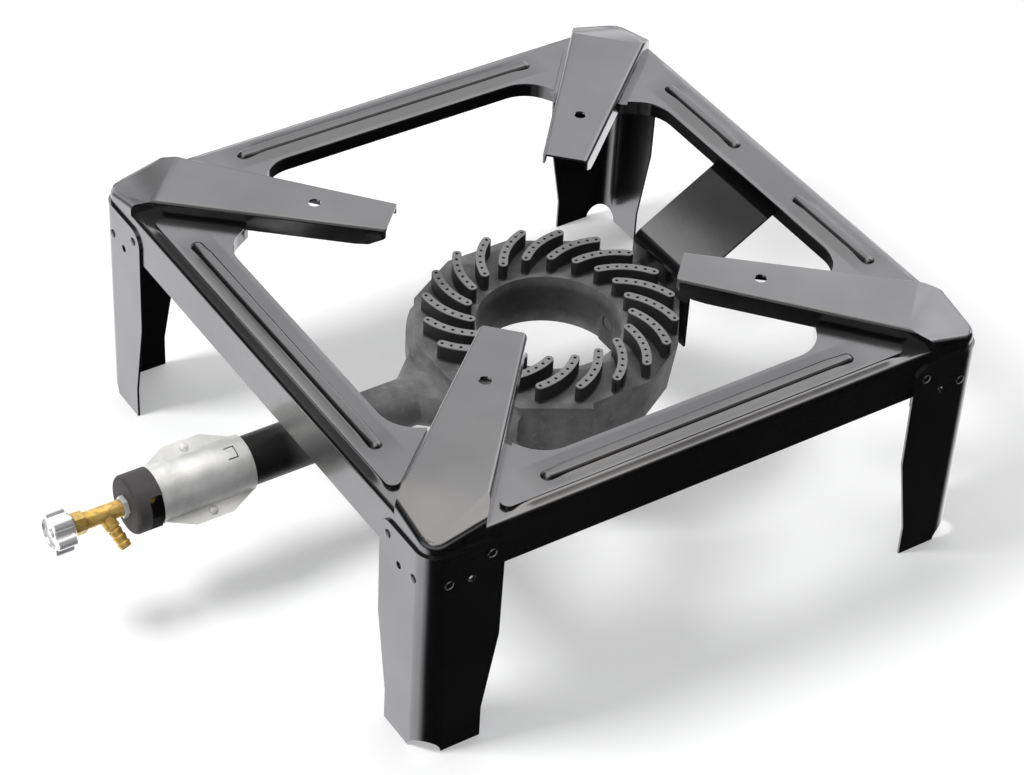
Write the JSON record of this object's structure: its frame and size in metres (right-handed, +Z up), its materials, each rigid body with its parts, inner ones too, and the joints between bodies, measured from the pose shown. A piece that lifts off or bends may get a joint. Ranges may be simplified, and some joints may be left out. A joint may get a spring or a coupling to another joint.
{
  "type": "gas boiling ring",
  "caption": "Low square gas stove: pressed enamelled frame with four pan fingers and corner legs round a spiral-finned cast iron ring burner with air sleeve, tap and hose nipple.",
  "frame": {"origin": "on the floor under the centre of the square frame, in the plane of the four feet", "axes": "+Z up; -Y towards the gas tap and its knob, along the burner's neck; +X to the right seen from the tap"},
  "size_m": [0.4054, 0.5437, 0.1788],
  "materials": {
    "enamel": "gloss",
    "iron": "rough",
    "zinc": "satin",
    "brass": "satin",
    "chrome": "polished",
    "rubber": "matte"
  },
  "bodies": {
    "stove": {"frame_top": "enamel", "leg_front_left": "enamel", "leg_front_right": "enamel", "leg_back_left": "enamel", "leg_back_right": "enamel", "leg_rivets": "enamel", "burner_casting": "iron", "burner_bolt": "zinc", "burner_washer": "zinc", "neck_screw": "zinc", "lock_nut": "zinc", "tap_body": "brass", "injector": "brass", "hose_nipple": "brass", "gland_nut": "brass"},
    "air_sleeve": {"air_sleeve_upper": "zinc", "air_sleeve_lower": "zinc", "sleeve_rivets": "zinc"},
    "stem_ring": {"stem_o_ring": "rubber"},
    "valve_knob": {"valve_spindle": "brass", "knob": "chrome", "knob_screw": "chrome"}
  },
  "joints": [
    {"name": "air_sleeve_slide", "type": "slide", "parent": "stove", "child": "air_sleeve", "axis": [0, 1, 0], "range_m": [0, 0.02]},
    {"name": "stem_travel", "type": "slide", "parent": "stove", "child": "stem_ring", "axis": [0, -1, 0], "range_m": [0, 0.0015]},
    {"name": "knob_turn", "type": "hinge", "parent": "stem_ring", "child": "valve_knob", "pos_m": [0, -0.31, 0.084], "axis": [0, -1, 0], "range_deg": [0, 540]}
  ],
  "couplings": [
    {"joint": "knob_turn", "follows": "stem_travel", "rad_per_m": 6283.1}
  ]
}
